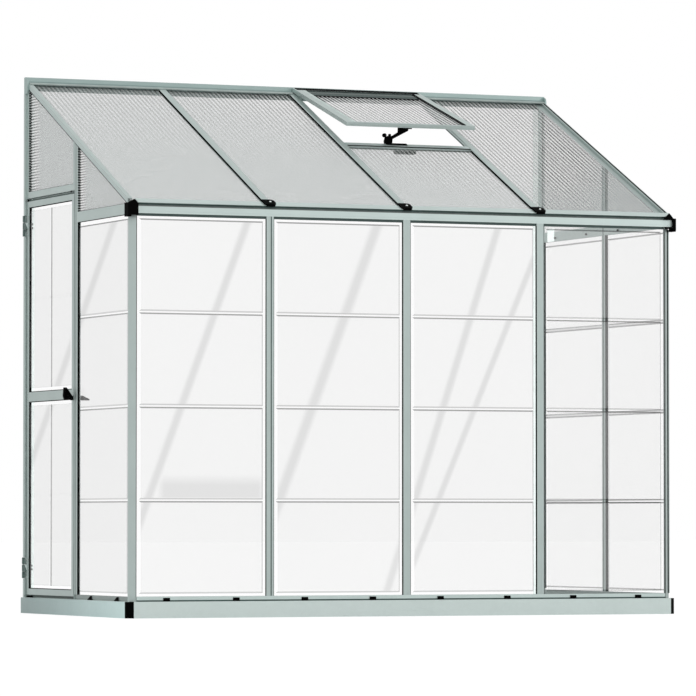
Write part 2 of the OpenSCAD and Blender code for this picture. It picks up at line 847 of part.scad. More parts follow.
module door_hinge(z) {
    part = hinge_len / 3;
    knuckle = part - 1;
    difference() {
        union() {
            translate([hinge_x, hinge_y, z + part]) cylinder(h = knuckle, r = hinge_r);
            along_z(z + part, z + part + knuckle) polygon([
                [hinge_x - 3, hinge_y], [hinge_x - 3, door_y1 - 8], [-wx - hinge_plate, door_y1 - 16],
                [-wx - hinge_plate, door_y1 - 4], [hinge_x + 3, door_y1 + 2], [hinge_x + 3, hinge_y]
            ]);
            translate([-wx - hinge_plate, door_y1 - 22, z]) cube([hinge_plate, 20, hinge_len]);
        }
        translate([hinge_x, hinge_y, z + part - 1]) cylinder(h = knuckle + 2, r = pin_r + play);
    }
}

module door_hinges() {
    color(metal) for (z = hinge_zs) door_hinge(z);
}

// Door frame bar, closed edge at x = 0, open to the pane at x = w
module stile_section(w) {
    t = door_t;
    polygon([
        [0, 0], [w, 0], [w, 4.7], [w - wall, 4.7], [w - wall, wall], [wall, wall],
        [wall, t - wall], [w - wall, t - wall], [w - wall, 8.3], [w, 8.3], [w, t], [0, t]
    ]);
}

module door_rail(z, height, up, down) {
    along_y(door_y0 + stile_w - wall, door_y1 - stile_w + wall) translate([-wx, z])
        intersection() {
            difference() {
                square([door_t, height]);
                translate([wall, wall]) square([door_t - 2 * wall, height - 2 * wall]);
                if (up) translate([4.7, height / 2 + 1]) square([3.6, height]);
                if (down) translate([4.7, -1]) square([3.6, height / 2]);
            }
            square([door_t, height]);
        }
}

module door_frame() {
    color(metal) difference() {
        union() {
            along_z(door_z0, door_top) translate([-wx, door_y1]) rotate(-90) stile_section(stile_w);
            along_z(door_z0, door_top) translate([-wx, door_y0]) mirror([0, 1]) rotate(-90)
                stile_section(stile_w);
            door_rail(door_z0, stile_w, true, false);
            door_rail(lock_z0, lock_rail_h, true, true);
            door_rail(door_top - stile_w, stile_w, false, true);
        }
        translate([-wx - 1, handle_y, handle_z]) rotate([0, 90, 0])
            cylinder(h = door_t + 2, r = spindle_r + play);
    }
}

module door_pane(z0, z1) {
    w = door_w - 2 * (stile_w - pane_grip);
    levels = [z0 + 22, (z0 + z1) / 2, z1 - 22];
    translate([5 - wx, (door_y0 + door_y1) / 2, 0]) rotate([0, 0, -90])
        pressed_pane(w, z0, z1, 22, 2, levels, 4);
}

module door_panes() {
    color(clear) door_pane(door_z0 + stile_w - 10, lock_z0 + 8);
    color(clear) door_pane(lock_z0 + lock_rail_h - 8, door_top - stile_w + 10);
}

// Turn handle: outer paddle with its collar, spindle and inner lever
module door_handle() {
    t = 16;
    out = -wx - 5.5;
    in = stop_b + wall + door_gap - wx;
    color(dark) translate([0, handle_y, handle_z]) {
        translate([out - 4, 0, 0]) rotate([0, 90, 0]) cylinder(h = in - out + 8, r = spindle_r);
        translate([out - 4, 0, 0]) rotate([0, 90, 0]) cylinder(h = 9.5 - play, r = 9);
        along_y(-t / 2, t / 2) polygon([
            [out, 11], [out, -7], [out - 30, -7], [out - 35, 8], [out - 32, 43], [out - 23, 43],
            [out - 9, 24]
        ]);
        along_y(-t / 3, t / 3) polygon([
            [in, 10], [in, -9], [in + 47, -9], [in + 47, -4], [in + 23, -4], [in + 19, 10]
        ]);
    }
}

base_rail_front();
base_rail_back();
base_rail_left();
right_end() base_rail_left();  // base_rail_right
base_corners();
front_sill();
end_sills();
eave_beam();
corner_post_left();
right_end() corner_post_left();  // corner_post_right
front_post(1);  // front_post_1
front_post(2);  // front_post_2
front_post(3);  // front_post_3
front_pane(1);  // front_pane_1
front_pane(2);  // front_pane_2
front_pane(3);  // front_pane_3
front_pane(4);  // front_pane_4
head_channels();
mid_post(mid_left);  // mid_post_left
right_end() mid_post(mid_right);  // mid_post_right
door_jamb();
wall_post_left();
wall_post_right();
eave_rail_left();
eave_rails_right();
door_header();
end_pane_left();
end_panes_right();
gable_panes_left();
gable_panes_right();
ridge_plate();
end_rafter();  // rafter_left
right_end() end_rafter();  // rafter_right
rafter(1);  // rafter_1
rafter(2);  // rafter_2
rafter(3);  // rafter_3
roof_pane(1);  // roof_pane_1
roof_pane(2);  // roof_pane_2
roof_pane(3);  // roof_pane_3
roof_pane(4);  // roof_pane_4
vent_curb();
vent_frame();
vent_pane();
vent_hinge();
vent_stay();
rafter_caps();
eave_caps();
post_hinges();
door_frame();
door_panes();
door_hinges();
door_handle();
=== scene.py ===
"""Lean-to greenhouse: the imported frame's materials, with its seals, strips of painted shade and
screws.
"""

import json
import math

import bmesh
import bpy
from mathutils import Euler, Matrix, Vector


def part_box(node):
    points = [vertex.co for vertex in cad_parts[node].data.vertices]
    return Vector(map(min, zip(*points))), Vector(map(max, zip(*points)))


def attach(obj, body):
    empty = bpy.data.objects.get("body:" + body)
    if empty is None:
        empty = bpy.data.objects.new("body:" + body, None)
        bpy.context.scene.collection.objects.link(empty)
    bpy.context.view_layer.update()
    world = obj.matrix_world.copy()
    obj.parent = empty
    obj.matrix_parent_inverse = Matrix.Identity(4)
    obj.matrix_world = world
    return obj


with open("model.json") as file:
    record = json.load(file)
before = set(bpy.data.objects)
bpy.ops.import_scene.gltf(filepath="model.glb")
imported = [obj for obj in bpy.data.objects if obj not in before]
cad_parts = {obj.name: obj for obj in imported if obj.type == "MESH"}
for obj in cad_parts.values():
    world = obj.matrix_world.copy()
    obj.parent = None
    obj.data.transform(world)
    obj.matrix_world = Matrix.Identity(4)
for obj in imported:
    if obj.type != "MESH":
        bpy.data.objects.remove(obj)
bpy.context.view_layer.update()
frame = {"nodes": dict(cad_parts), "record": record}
scene = bpy.context.scene
scene.view_settings.view_transform = "Standard"
nodes = frame["nodes"]
slot_of = {s["node"]: s["material_slot"] for s in frame["record"]["subparts"]}


# ---------------------------------------------------------------- places, in mm

def box(name):
    """Lowest and highest corner of a CAD node, in mm."""
    low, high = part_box(name)
    return (*(1000 * low), *(1000 * high))


# Outer planes of the walls, and the top plane of the rafters above the front wall
front_y = box("front_post_1")[1]
left_x = box("mid_post_left")[0]
right_x = box("mid_post_right")[3]
SLOPE = math.radians(25.0)
rafter_box = box("rafter_1")
eave_z = rafter_box[5] - (rafter_box[4] - front_y) * math.tan(SLOPE)

# The open leaf of the vent: its slope, thickness, side bars, and the middle of its hinge line
LEAF_SLOPE = math.radians(17.8)
leaf_box = box("vent_frame")
LEAF_TOP = 17.0
LEAF_BAR = 45.0
leaf_half = 0.5 * (leaf_box[3] - leaf_box[0])
vent_x = 0.5 * (leaf_box[0] + leaf_box[3])
vent_y = leaf_box[4]
vent_z = leaf_box[5] - LEAF_TOP * math.cos(LEAF_SLOPE)

# The door leaf
door_x0, door_y0, door_z0, door_x1, door_y1, door_z1 = box("door_frame")
STILE = 25.0
LOCK_RAIL = (879.0, 918.0)
HINGE_LENGTH = 86.0

# Panes: the clear sheets' thickness, and the pitches of the stripes on the twin-wall sheets
CLEAR_T = 3.0
ROOF_STRIPE = 19.6
GABLE_STRIPE = 11.7
CORNER_STRIPE = 10.4

# The rows of pressed fields: their foot and pitch
ROW_FOOT = 93.0
ROW_PITCH = 372.0

# How far below the rafters' top plane the posts' seals and the gable sheets end
UNDER_RAFTER = 30.0
ROOF_CUT = 34.0


def roof_z(y):
    """Height of the rafters' top plane."""
    return eave_z + (y - front_y) * math.tan(SLOPE)


def up_slope(y):
    """Distance up the slope from the front wall."""
    return (y - front_y) / math.cos(SLOPE)


# ---------------------------------------------------------------- materials

class Tree:
    """A material's node tree with a Principled shader and short ways to add nodes."""

    def __init__(self, name):
        self.mat = bpy.data.materials.new(name)
        self.mat.use_nodes = True
        self.tree = self.mat.node_tree
        self.bsdf = self.tree.nodes["Principled BSDF"]

    def set(self, **values):
        for key, value in values.items():
            self.bsdf.inputs[key.replace("_", " ")].default_value = value
        return self

    def plug(self, value, socket):
        """Links an output to a socket, or writes a value on it."""
        if hasattr(value, "is_output"):
            self.tree.links.new(value, socket)
        else:
            socket.default_value = value

    def node(self, kind, **inputs):
        n = self.tree.nodes.new(kind)
        for key, value in inputs.items():
            self.plug(value, n.inputs[key.replace("_", " ")])
        return n

    def place(self):
        return self.node("ShaderNodeTexCoord").outputs["Object"]

    def axes(self):
        """The object coordinates one by one, in metres."""
        return self.node("ShaderNodeSeparateXYZ", Vector=self.place()).outputs

    def coords(self, scale):
        """Object coordinates, scaled per axis."""
        return self.node("ShaderNodeMapping", Vector=self.place(), Scale=scale).outputs[0]

    def noise(self, size, detail=3.0, rough=0.5, scale=(1, 1, 1)):
        n = self.node("ShaderNodeTexNoise", Vector=self.coords(scale), Scale=size,
                      Detail=detail, Roughness=rough)
        return n.outputs["Fac"]

    def ramp(self, fac, low, high, a=0.3, b=0.7):
        """Runs from low to high while fac runs from a to b."""
        r = self.node("ShaderNodeMapRange", Value=fac)
        for key, value in (("From Min", a), ("From Max", b), ("To Min", low), ("To Max", high)):
            r.inputs[key].default_value = value
        return r.outputs[0]

    def math(self, operation, a, b=0.0, c=0.0):
        m = self.tree.nodes.new("ShaderNodeMath")
        m.operation = operation
        for value, socket in zip((a, b, c), m.inputs):
            self.plug(value, socket)
        return m.outputs[0]

    def mix(self, fac, a, b):
        m = self.tree.nodes.new("ShaderNodeMix")
        m.data_type = "RGBA"
        self.plug(fac, m.inputs["Factor"])
        for value, socket in ((a, m.inputs[6]), (b, m.inputs[7])):
            self.plug(value if hasattr(value, "is_output") else (*value, 1.0), socket)
        return m.outputs[2]

    def bump(self, height, strength, distance):
        b = self.node("ShaderNodeBump", Height=height, Strength=strength, Distance=distance)
        self.into(b.outputs[0], "Normal")

    def into(self, value, name):
        self.tree.links.new(value, self.bsdf.inputs[name])


def grey(value, tint=(0.93, 1.0, 0.975)):
    return tuple(value * c for c in tint)


# Drawing lines run along the bars: the texture is drawn out on that axis
DRAWN_X = (0.02, 1, 1)
DRAWN_Y = (1, 0.02, 1)
DRAWN_Z = (1, 1, 0.02)
ALUMINIUM = (0.862, 1.0, 0.968)
ZINC = (0.88, 1.0, 0.97)
DULL = (0.86, 1.0, 0.96)
PANE = (1.0, 1.0, 0.995)
WHITE = (1.0, 1.0, 1.0, 1.0)


def metal(name, level, drawn, tint=ALUMINIUM):
    """Mill-finish metal with fine drawing lines along the bar's length."""
    t = Tree(name).set(Metallic=0.75)
    lines = t.noise(900.0, 2.0, 0.6, drawn)
    cloud = t.noise(9.0)
    tone = t.mix(t.ramp(cloud, 0.0, 0.6), grey(level, tint), grey(0.91 * level, tint))
    t.into(tone, "Base Color")
    t.into(t.ramp(lines, 0.36, 0.50), "Roughness")
    t.bump(lines, 0.08, 0.0004)
    return t.mat


def galvanised(name, back, front, tint=ZINC):
    """Zinc-coated sheet whose tone runs from its back end to its front end, as painted light and
    shade.
    """
    t = Tree(name).set(Metallic=0.7)
    cells = t.node("ShaderNodeTexVoronoi", Vector=t.coords((1, 1, 1)), Scale=60.0)
    cell = t.node("ShaderNodeSeparateColor", Color=cells.outputs["Color"]).outputs[0]
    cloud = t.noise(6.0)
    light_run = t.ramp(t.axes()["Y"], 0.0, 1.0, 0.55, -0.6)
    base = t.mix(light_run, grey(back, tint), grey(front, tint))
    spot = t.mix(light_run, grey(0.93 * back, tint), grey(0.93 * front, tint))
    spangle = t.math("ADD", t.math("MULTIPLY", cell, 0.3), t.ramp(cloud, 0.0, 0.5))
    t.into(t.mix(spangle, base, spot), "Base Color")
    t.into(t.ramp(cloud, 0.4, 0.52), "Roughness")
    return t.mat


def black(name, rough, grain):
    """Black plastic or rubber with a fine grain."""
    level = 0.0014
    t = Tree(name).set(Specular_IOR_Level=0.01)
    speck = t.noise(grain, 2.0)
    t.into(t.mix(t.ramp(speck, 0.0, 1.0), grey(level), grey(1.8 * level)), "Base Color")
    t.into(t.ramp(speck, rough - 0.06, rough + 0.08), "Roughness")
    t.bump(speck, 0.15, 0.0003)
    return t.mat


def dull(name, level, tint=DULL, glow=0.0):
    """Grey-green strips and pale plates, many of them painted shade; glow makes a plate glow as
    painted light.
    """
    t = Tree(name).set(Specular_IOR_Level=0.2, Emission_Color=WHITE, Emission_Strength=glow)
    cloud = t.noise(30.0, 2.0)
    tone = t.mix(t.ramp(cloud, 0.0, 1.0), grey(level, tint), grey(1.25 * level, tint))
    t.into(tone, "Base Color")
    t.into(t.ramp(cloud, 0.55, 0.65), "Roughness")
    return t.mat


def steel(name, level):
    """Plated screws and nuts."""
    t = Tree(name).set(Metallic=0.6)
    speck = t.noise(700.0, 2.0)
    t.into(t.mix(t.ramp(speck, 0.0, 1.0), grey(level), grey(0.9 * level)), "Base Color")
    t.into(t.ramp(speck, 0.25, 0.4), "Roughness")
    return t.mat


# Faint slanting streaks on the pressed fields, painted dark reflections: place along the wall
# at the ground, its change with height, and half width, all in m
FIRST_STREAKS = [(-1.294, 0.382, 0.022)]
FRONT_STREAKS = [(-0.735, 0.385, 0.029), (-0.120, 0.335, 0.021), (-0.062, 0.434, 0.018)]
SIDE_STREAKS = [(1.203, -1.03, 0.050)]
# Shaded block low in the first pane, a painted dark reflection: its middle, half width, foot and
# top with their edges, in m
BLOCK_X, BLOCK_HALF, BLOCK_FOOT, BLOCK_TOP = -0.846, (0.20, 0.23), (0.474, 0.478), (0.525, 0.568)


def clear(name, alpha, level, axis="X", streaks=(), block=False):
    """Clear pane: a thin haze, with painted dark reflections as streaks and a block where they are
    asked for.
    """
    t = Tree(name).set(Alpha=alpha, IOR=1.49, Specular_IOR_Level=0.25)
    haze = t.noise(1.6, 1.0)
    tone = t.mix(t.ramp(haze, 0.0, 1.0), grey(level, PANE), grey(0.97 * level, PANE))
    place = t.axes()
    shades = []
    for where, slope, half in streaks:
        along = t.math("SUBTRACT", place[axis], where)
        off = t.math("ABSOLUTE", t.math("MULTIPLY_ADD", place["Z"], -slope, along))
        shades.append(t.ramp(off, 1.0, 0.0, 0.35 * half, 1.15 * half))
    if block:
        across = t.math("ABSOLUTE", t.math("SUBTRACT", place["X"], BLOCK_X))
        shade = t.math("MULTIPLY", t.ramp(place["Z"], 1.0, 0.0, *BLOCK_TOP),
                       t.ramp(place["Z"], 0.0, 1.0, *BLOCK_FOOT))
        shades.append(t.math("MULTIPLY", t.ramp(across, 0.9, 0.0, *BLOCK_HALF), shade))
    if shades:
        dark = shades[0]
        for shade in shades[1:]:
            dark = t.math("MAXIMUM", dark, shade)
        tone = t.mix(dark, tone, grey(0.04 * level))
    t.into(tone, "Base Color")
    t.into(t.ramp(haze, 0.05, 0.1), "Roughness")
    return t.mat


# Middle, light and dark tone of a twin-wall sheet's stripes, which are painted light and shade,
# and the way along which the stripes of its two skins lie in line
SHEET = ((0.35, 0.39, 0.38), (0.80, 0.80, 0.80), (0.02, 0.025, 0.02))
STRONG = ((0.46, 0.50, 0.49), (0.98, 0.98, 0.98), (0.01, 0.012, 0.01))
EVEN = ((0.93, 0.95, 0.94),) * 3
IN_LINE = Vector((0.393, 0.916, 0.080))


def roof_stripes(t, place, tilt):
    """Where a sloping sheet's painted stripes of light and shade lie, and how strong they are.

    The strength is the greater of one that grows to the right and one that grows up the slope,
    and it fades out in the lower right corner."""
    normal = Vector((0, -math.sin(tilt), math.cos(tilt)))
    height = t.math("MULTIPLY_ADD", place["Z"], normal.z,
                    t.math("MULTIPLY", place["Y"], normal.y))
    across = t.math("MULTIPLY_ADD", height, -IN_LINE.x / IN_LINE.dot(normal), place["X"])
    up = t.math("MULTIPLY_ADD", place["Y"], 1 / math.cos(SLOPE), 0.001 * up_slope(0))
    right = t.ramp(t.math("MULTIPLY_ADD", up, 1.25, place["X"]), 0.0, 1.0, 0.5, 1.5)
    high = t.ramp(up, 0.0, 0.55, 0.50, 1.25)
    corner = t.ramp(t.math("MULTIPLY_ADD", place["X"], -1.45, up), 0.0, 1.0, -1.26, -0.91)
    return across, t.math("MULTIPLY", t.math("MAXIMUM", right, high), corner)


def twin(name, pitch, tilt=None, grow=(0.47, 0.56), alpha=0.215, tones=SHEET):
    """Twin-wall sheet whose cells show as light and dark stripes of painted light and shade.

    A roof or vent sheet is given by its tilt. A gable sheet has none, and its level stripes
    grow between two places along the wall, in m."""
    t = Tree(name).set(Alpha=alpha, Specular_IOR_Level=0.2)
    place = t.axes()
    middle, light, dark = tones
    if tilt is None:
        across, contrast = place["Z"], t.ramp(place["Y"], 0.0, 1.0, *grow)
    else:
        across, contrast = roof_stripes(t, place, tilt)
    cell = t.math("FRACT", t.math("MULTIPLY", across, 1000.0 / pitch))
    stripe = t.math("LESS_THAN", cell, 0.5)
    tone = t.mix(stripe, t.mix(contrast, middle, dark), t.mix(contrast, middle, light))
    t.into(tone, "Base Color")
    t.into(t.ramp(t.noise(3.0), 0.25, 0.35), "Roughness")
    return t.mat


# The aluminium's copies differ in level by the way their bars run: painted light and shade
metal_x = metal("drawn_aluminium_x", 0.67, DRAWN_X)
metal_y = metal("drawn_aluminium_y", 0.575, DRAWN_Y)
metal_z = metal("drawn_aluminium_z", 0.55, DRAWN_Z)
# A darker, greener copy of the aluminium for the ridge plate: painted shade
metal_ridge_shade = metal("ridge_aluminium_painted_shade", 0.46, DRAWN_X, (0.79, 1.0, 0.965))
metal_hinge_shade = metal("hinge_aluminium_painted_shade", 0.16, DRAWN_Z, (0.72, 1.0, 0.94))
metal_shade_band = metal("aluminium_painted_shade_band", 0.47, DRAWN_Y)
metal_shade = metal("shaded_aluminium", 0.34, DRAWN_Y)
# A near-black copy of the aluminium for the head channels under the eave beam: painted shade
metal_head_shade = metal("head_aluminium_painted_shade", 0.09, DRAWN_X, (0.70, 1.0, 0.94))
base_front = galvanised("galvanised_base", 0.70, 0.70)
base_side = galvanised("galvanised_side_painted_light", 0.42, 0.84, (0.80, 1.0, 0.985))
base_top_highlight = galvanised("galvanised_painted_highlight", 0.92, 0.92)
plastic = black("black_plastic", 0.6, 1400.0)
rubber = black("black_seal", 0.65, 900.0)
# Dark and grey strips laid where there is shade: painted shade
dark_shade = dull("dark_painted_shade", 0.07, (0.66, 1.0, 0.93))
grey_shade = dull("grey_painted_shade", 0.13)
light_grey_shade = dull("light_grey_painted_shade", 0.36)
pale_band = dull("pale_band", 0.50)
pale_glow = dull("pale_glowing_painted_light", 0.9, glow=0.5)
screw_dark = steel("dark_screw", 0.03)
screw_grey = steel("grey_screw", 0.33)
screw_bright = steel("bright_screw", 0.92)
twin_roof = twin("twin_wall_roof", ROOF_STRIPE, SLOPE)
twin_leaf = twin("twin_wall_leaf", ROOF_STRIPE, LEAF_SLOPE, alpha=0.27, tones=STRONG)
twin_gable = twin("twin_wall_gable", GABLE_STRIPE, None, (0.46, 0.54), 0.28, STRONG)
twin_corner = twin("twin_wall_corner", CORNER_STRIPE, None, (-0.10, -0.03), 0.28, STRONG)
twin_far = twin("twin_wall_far_gable", GABLE_STRIPE, alpha=0.12, tones=EVEN)
cell_wall = clear("cell_wall", 0.02, 0.5)

# Zones of a pressed pane, in the order of its materials
MARGIN, FIELD, UPPER_BEVEL, LOWER_BEVEL, SIDE_BEVEL, RIB = range(6)
margin = clear("clear_margin", 0.03, 0.85)
# The bevels' levels paint light and shade by the way they face; the far and door panes' bevels do
# the same
edges = [clear("clear_bevel_top", 0.45, 0.12), clear("clear_bevel_bottom", 0.24, 0.15),
         clear("clear_bevel_right", 0.27, 0.15), clear("clear_rib", 0.45, 0.18)]
field = clear("clear_field", 0.14, 0.66, "X", FRONT_STREAKS)
field_1 = clear("clear_field_1", 0.14, 0.66, "X", FIRST_STREAKS, True)
field_side = clear("clear_field_side", 0.17, 0.62, "Y", SIDE_STREAKS)
FRONT_ZONES = [margin, field, *edges]
FIRST_ZONES = [margin, field_1, *edges]
SIDE_ZONES = [margin, field_side, *edges]
DOOR_ZONES = [margin, *[field_side] * 3, clear("door_bevel", 0.08, 0.4),
              clear("door_joint", 0.85, 0.12)]
FAR_ZONES = [margin, clear("clear_field_far", 0.03, 0.85), clear("far_bevel_top", 0.45, 0.1),
             clear("far_bevel_bottom", 0.40, 0.1), clear("far_bevel_side", 0.1, 0.3),
             clear("far_rib", 0.17, 0.1)]


# ---------------------------------------------------------------- materials on the nodes

ALONG_X = ("front_sill", "eave_beam", "vent_curb")
ALONG_Y = ("eave_rail", "door_header", "rafter", "vent_frame")
OWN_MATERIAL = {
    "base_rail_left": base_side, "gable_panes_left": twin_gable, "gable_panes_right": twin_far,
    "vent_pane": twin_leaf, "ridge_plate": metal_ridge_shade, "head_channels": metal_head_shade,
    "end_sills": metal_shade}
SLOT_MATERIAL = {"base": base_front, "black_plastic": plastic, "twin_wall": twin_roof}


def material_for(name):
    if name in OWN_MATERIAL:
        return OWN_MATERIAL[name]
    if slot_of[name] in SLOT_MATERIAL:
        return SLOT_MATERIAL[slot_of[name]]
    if name.startswith(ALONG_X):
        return metal_x
    return metal_y if name.startswith(ALONG_Y) else metal_z


def pane_zone(centre, normal, out, top, ribs):
    """Zone of a face of a pressed pane that faces out, with its outermost plane at top."""
    near, rib_half = 0.001, 0.003
    facing = normal.dot(out)
    if abs(facing) < 0.1:
        return MARGIN
    if abs(facing) > 0.99:
        depth = top - centre.dot(out)
        if abs(depth if facing > 0 else depth - 0.001 * CLEAR_T) < near:
            return FIELD
        on_rib = any(abs((centre - place).dot(across)) < rib_half for place, across in ribs)
        return RIB if on_rib else MARGIN
    # The bevels are shaded by the way they lean, as painted light: top, bottom and one side each
    # apart, the other side as pale as the margin
    lean = normal if facing > 0 else -normal
    if abs(lean.z) > 0.3:
        return UPPER_BEVEL if lean.z > 0 else LOWER_BEVEL
    return SIDE_BEVEL if lean.dot(Vector((-out.y, out.x, 0))) > 0 else MARGIN


def glaze(name, out, zones, ribs=()):
    """Gives each face of a pressed pane its zone's material; a rib is a place and the way
    across it."""
    mesh = nodes[name].data
    for material in zones:
        mesh.materials.append(material)
    out = Vector(out)
    top = max(v.co.dot(out) for v in mesh.vertices)
    for polygon in mesh.polygons:
        polygon.material_index = pane_zone(polygon.center, polygon.normal, out, top, ribs)


def glaze_door():
    """The door's panes have one upright joint, and small margin faces at its ends are field."""
    middle = Vector((0, 0.0005 * (door_y0 + door_y1), 0))
    glaze("door_panes", (-1, 0, 0), DOOR_ZONES, [(middle, Vector((0, 1, 0)))])
    small = 0.02
    mesh = nodes["door_panes"].data
    for polygon in mesh.polygons:
        corners = [mesh.vertices[i].co for i in polygon.vertices]
        wide, high = (max(c[i] for c in corners) - min(c[i] for c in corners) for i in (1, 2))
        if polygon.material_index == MARGIN and high < small:
            polygon.material_index = FIELD
        if polygon.material_index == RIB and wide > small:
            polygon.material_index = MARGIN


def split(names, material, test):
    """Gives the faces that pass the test another material."""
    for name in names:
        mesh = nodes[name].data
        mesh.materials.append(material)
        for polygon in mesh.polygons:
            if test(polygon.center, polygon.normal):
                polygon.material_index = 1


for name, obj in nodes.items():
    obj.data.materials.clear()
    if slot_of[name] != "clear_pane":
        obj.data.materials.append(material_for(name))

glaze("front_pane_1", (0, -1, 0), FIRST_ZONES)
for k in range(2, 5):
    glaze(f"front_pane_{k}", (0, -1, 0), FRONT_ZONES)
glaze("end_pane_left", (-1, 0, 0), SIDE_ZONES)
glaze("end_panes_right", (1, 0, 0), FAR_ZONES,
      [(Vector((0, 0, 0.001 * (ROW_FOOT + k * ROW_PITCH))), Vector((0, 0, 1))) for k in (2, 3)])
glaze_door()

# Faces with another tone, by their centre in m and their normal; several of these tones are painted
# light and shade
base_top = 0.001 * box("base_rail_front")[5]
house_wall = 0.001 * box("wall_post_left")[4]
wall_face = 0.001 * right_x
# The base rails' top faces are lighter: a painted highlight
split(("base_rail_front", "base_rail_left", "base_rail_right"), base_top_highlight,
      lambda c, n: n.z > 0.9 and c.z > base_top - 0.005)
# Faces of the wall posts toward the house wall are pale and glow: painted light
split(("wall_post_left", "wall_post_right"), pale_glow,
      lambda c, n: n.y < -0.9 and c.y > house_wall - 0.005 and abs(c.x) < wall_face - 0.008)
# The hinges' outer faces take a dark copy of the aluminium: painted shade
split(("post_hinges", "door_hinges"), metal_hinge_shade, lambda c, n: c.x < -wall_face - 0.0065)
split(("gable_panes_left",), twin_corner, lambda c, n: c.y < 0)
split([f"roof_pane_{k}" for k in range(1, 5)] + ["vent_pane"], cell_wall,
      lambda c, n: abs(n.x) > 0.9)


# ---------------------------------------------------------------- solids

class Solid:
    """Closed prisms and turned shapes gathered into one mesh, given in mm."""

    def __init__(self):
        self.bm = bmesh.new()

    def vert(self, place, u, v, w):
        return self.bm.verts.new([0.001 * c for c in place(u, v, w)])

    def prism(self, section, a, b, place):
        """A section of (u, v) points run from a to b."""
        first, last = ([self.vert(place, u, v, w) for u, v in section] for w in (a, b))
        self.bm.faces.new(first)
        self.bm.faces.new(last)
        for i in range(len(section)):
            self.bm.faces.new((first[i - 1], first[i], last[i], last[i - 1]))

    def turned(self, profile, place, sides=20):
        """A profile of (radius, height) points that starts and ends on the axis."""
        rings = []
        for radius, height in profile:
            angles = [2 * math.pi * i / sides for i in range(sides if radius else 1)]
            ring = [self.vert(place, radius * math.cos(a), radius * math.sin(a), height)
                    for a in angles]
            rings.append(ring if radius else ring * sides)
        for low, high in zip(rings, rings[1:]):
            for i in range(sides):
                corners = dict.fromkeys((low[i - 1], low[i], high[i], high[i - 1]))
                self.bm.faces.new(list(corners))

    def piece(self, name, material, slot, body="greenhouse"):
        bmesh.ops.recalc_face_normals(self.bm, faces=self.bm.faces)
        mesh = bpy.data.meshes.new(name)
        self.bm.to_mesh(mesh)
        self.bm.free()
        mesh.materials.append(material)
        obj = bpy.data.objects.new(name, mesh)
        scene.collection.objects.link(obj)
        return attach(obj, body)


# Ways to run a section of (u, v) points along w: a section in (Y, Z), (X, Z) or (X, Y) ...
def run_x(u, v, w):
    return w, u, v


def run_y(u, v, w):
    return u, w, v


def run_z(u, v, w):
    return u, v, w


# ... or one on the roof or on the vent's open leaf
def roof(u, v, w):
    """u across, v above the rafters' top plane, w up the slope from the front wall."""
    return (u, front_y + w * math.cos(SLOPE) - v * math.sin(SLOPE),
            eave_z + w * math.sin(SLOPE) + v * math.cos(SLOPE))


def roof_across(u, v, w):
    """u up the slope, v above the rafters' top plane, w across."""
    return roof(w, v, u)


def leaf(u, v, w):
    """u across from the leaf's middle, v above its underside, w down from its hinge."""
    return (vent_x + u, vent_y - w * math.cos(LEAF_SLOPE) - v * math.sin(LEAF_SLOPE),
            vent_z - w * math.sin(LEAF_SLOPE) + v * math.cos(LEAF_SLOPE))


def leaf_across(u, v, w):
    """u down from the leaf's hinge, v above its underside, w across."""
    return leaf(w, v, u)


# Sections of the glazing seals as (out of the bar's edge, depth behind the bar's face)
OUTER = [(0, 2.2), (1.3, 2.8), (2, 5), (2, 8.9), (0, 8.9)]
INNER = [(0, 13.1), (2, 13.1), (2, 14.2), (1.2, 15.3), (0, 15.4)]


def seal(edge, side, face, inward, profile=OUTER, swap=False, wide=1.0):
    """A seal beside a bar's edge, on the side given; swap puts the depth first."""
    points = [(edge + side * wide * k, face + inward * d) for k, d in profile]
    return [(v, u) for u, v in points] if swap else points


def strip(u0, u1, foot, top, ease):
    """A flat strip from u0 to u1 with its upper edges eased."""
    return [(u0, foot), (u0 + ease, top), (u1 - ease, top), (u1, foot)]


# ---------------------------------------------------------------- front wall

SILL_CLIPS_X = (-1038.5, -742, -447, -151, 147.5, 445.5, 742.5, 1039)
SILL_CLIPS_Y = (-150, -455)
CORNER = 25.0


